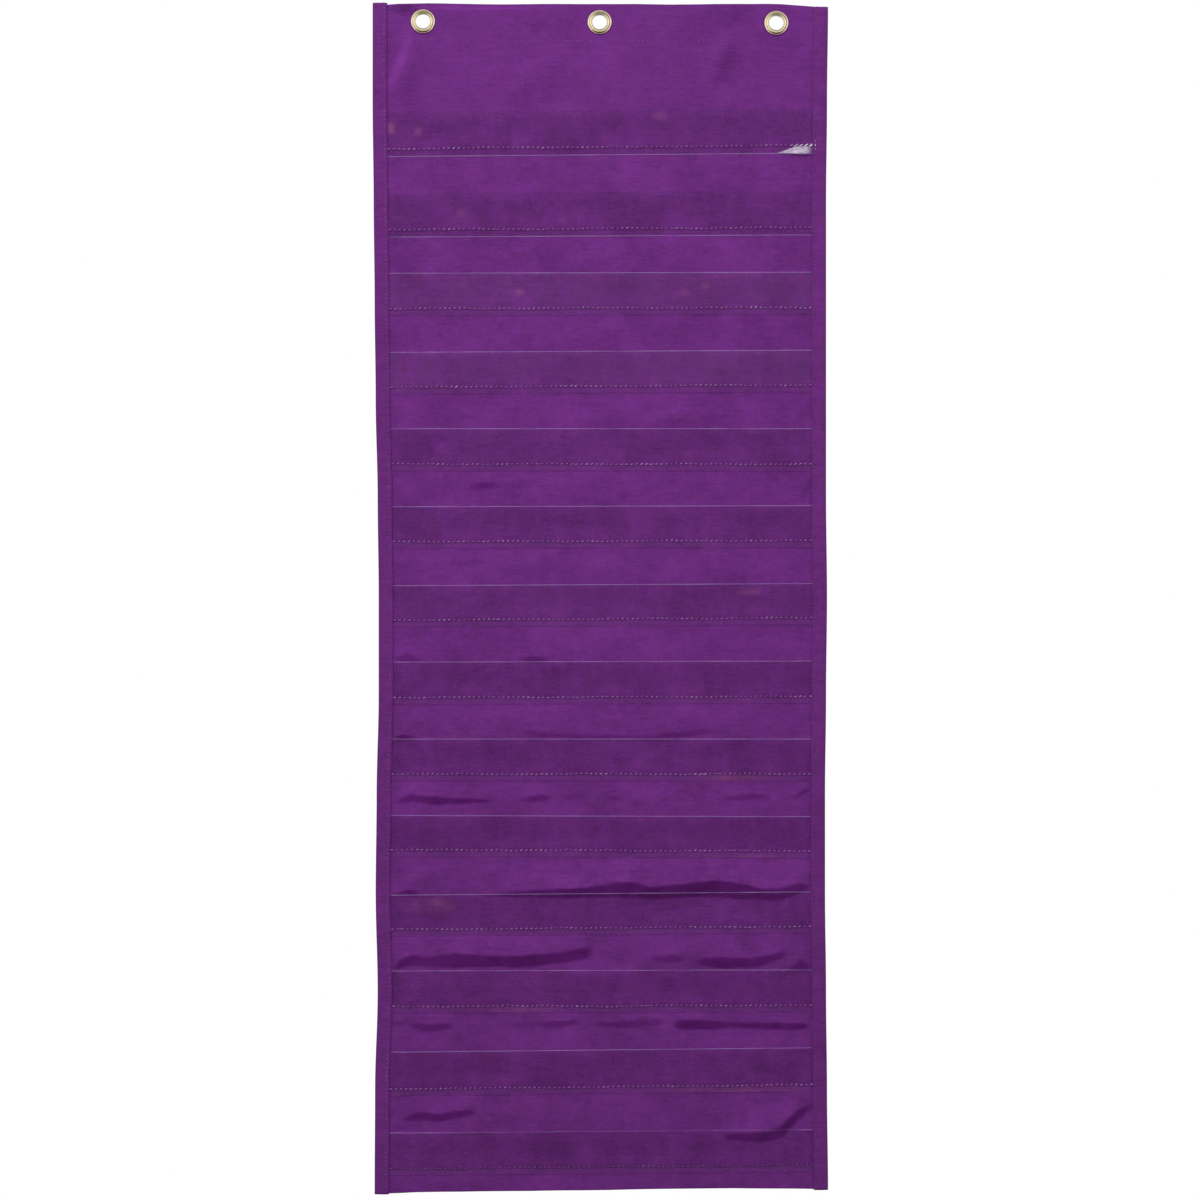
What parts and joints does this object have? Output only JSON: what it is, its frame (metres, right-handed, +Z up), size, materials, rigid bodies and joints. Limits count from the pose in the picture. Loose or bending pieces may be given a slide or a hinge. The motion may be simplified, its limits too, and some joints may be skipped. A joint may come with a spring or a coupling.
{
  "type": "pocket chart",
  "caption": "Hanging fabric chart with clear pocket strips sewn across it, bound sides and metal grommets along its top hem.",
  "frame": {"origin": "centre of the middle grommet's hole, in the middle of the panel's cloth, where the chart hangs", "axes": "+Z up along the hanging panel, +X to the right seen from the front, the front faces -Y and the wall lies at +Y"},
  "size_m": [0.3302, 0.0078, 0.8645],
  "materials": {
    "panel_nylon": "purple nylon taffeta with a soft satin sheen",
    "binding_tape": "purple nylon tape, slightly flatter than the panel",
    "clear_vinyl": "clear flexible vinyl, glossy",
    "eyelet_brass": "bright plated brass",
    "washer_brass": "plated brass"
  },
  "bodies": {
    "root": {"backing_panel": "panel_nylon", "left_binding": "binding_tape", "right_binding": "binding_tape", "pocket_strip_01": "clear_vinyl", "pocket_strip_02": "clear_vinyl", "pocket_strip_03": "clear_vinyl", "pocket_strip_04": "clear_vinyl", "pocket_strip_05": "clear_vinyl", "pocket_strip_06": "clear_vinyl", "pocket_strip_07": "clear_vinyl", "pocket_strip_08": "clear_vinyl", "pocket_strip_09": "clear_vinyl", "pocket_strip_10": "clear_vinyl", "pocket_strip_11": "clear_vinyl", "pocket_strip_12": "clear_vinyl", "pocket_strip_13": "clear_vinyl", "pocket_strip_14": "clear_vinyl", "grommet_left": "eyelet_brass", "grommet_center": "eyelet_brass", "grommet_right": "eyelet_brass", "washer_left": "washer_brass", "washer_center": "washer_brass", "washer_right": "washer_brass"}
  },
  "joints": []
}
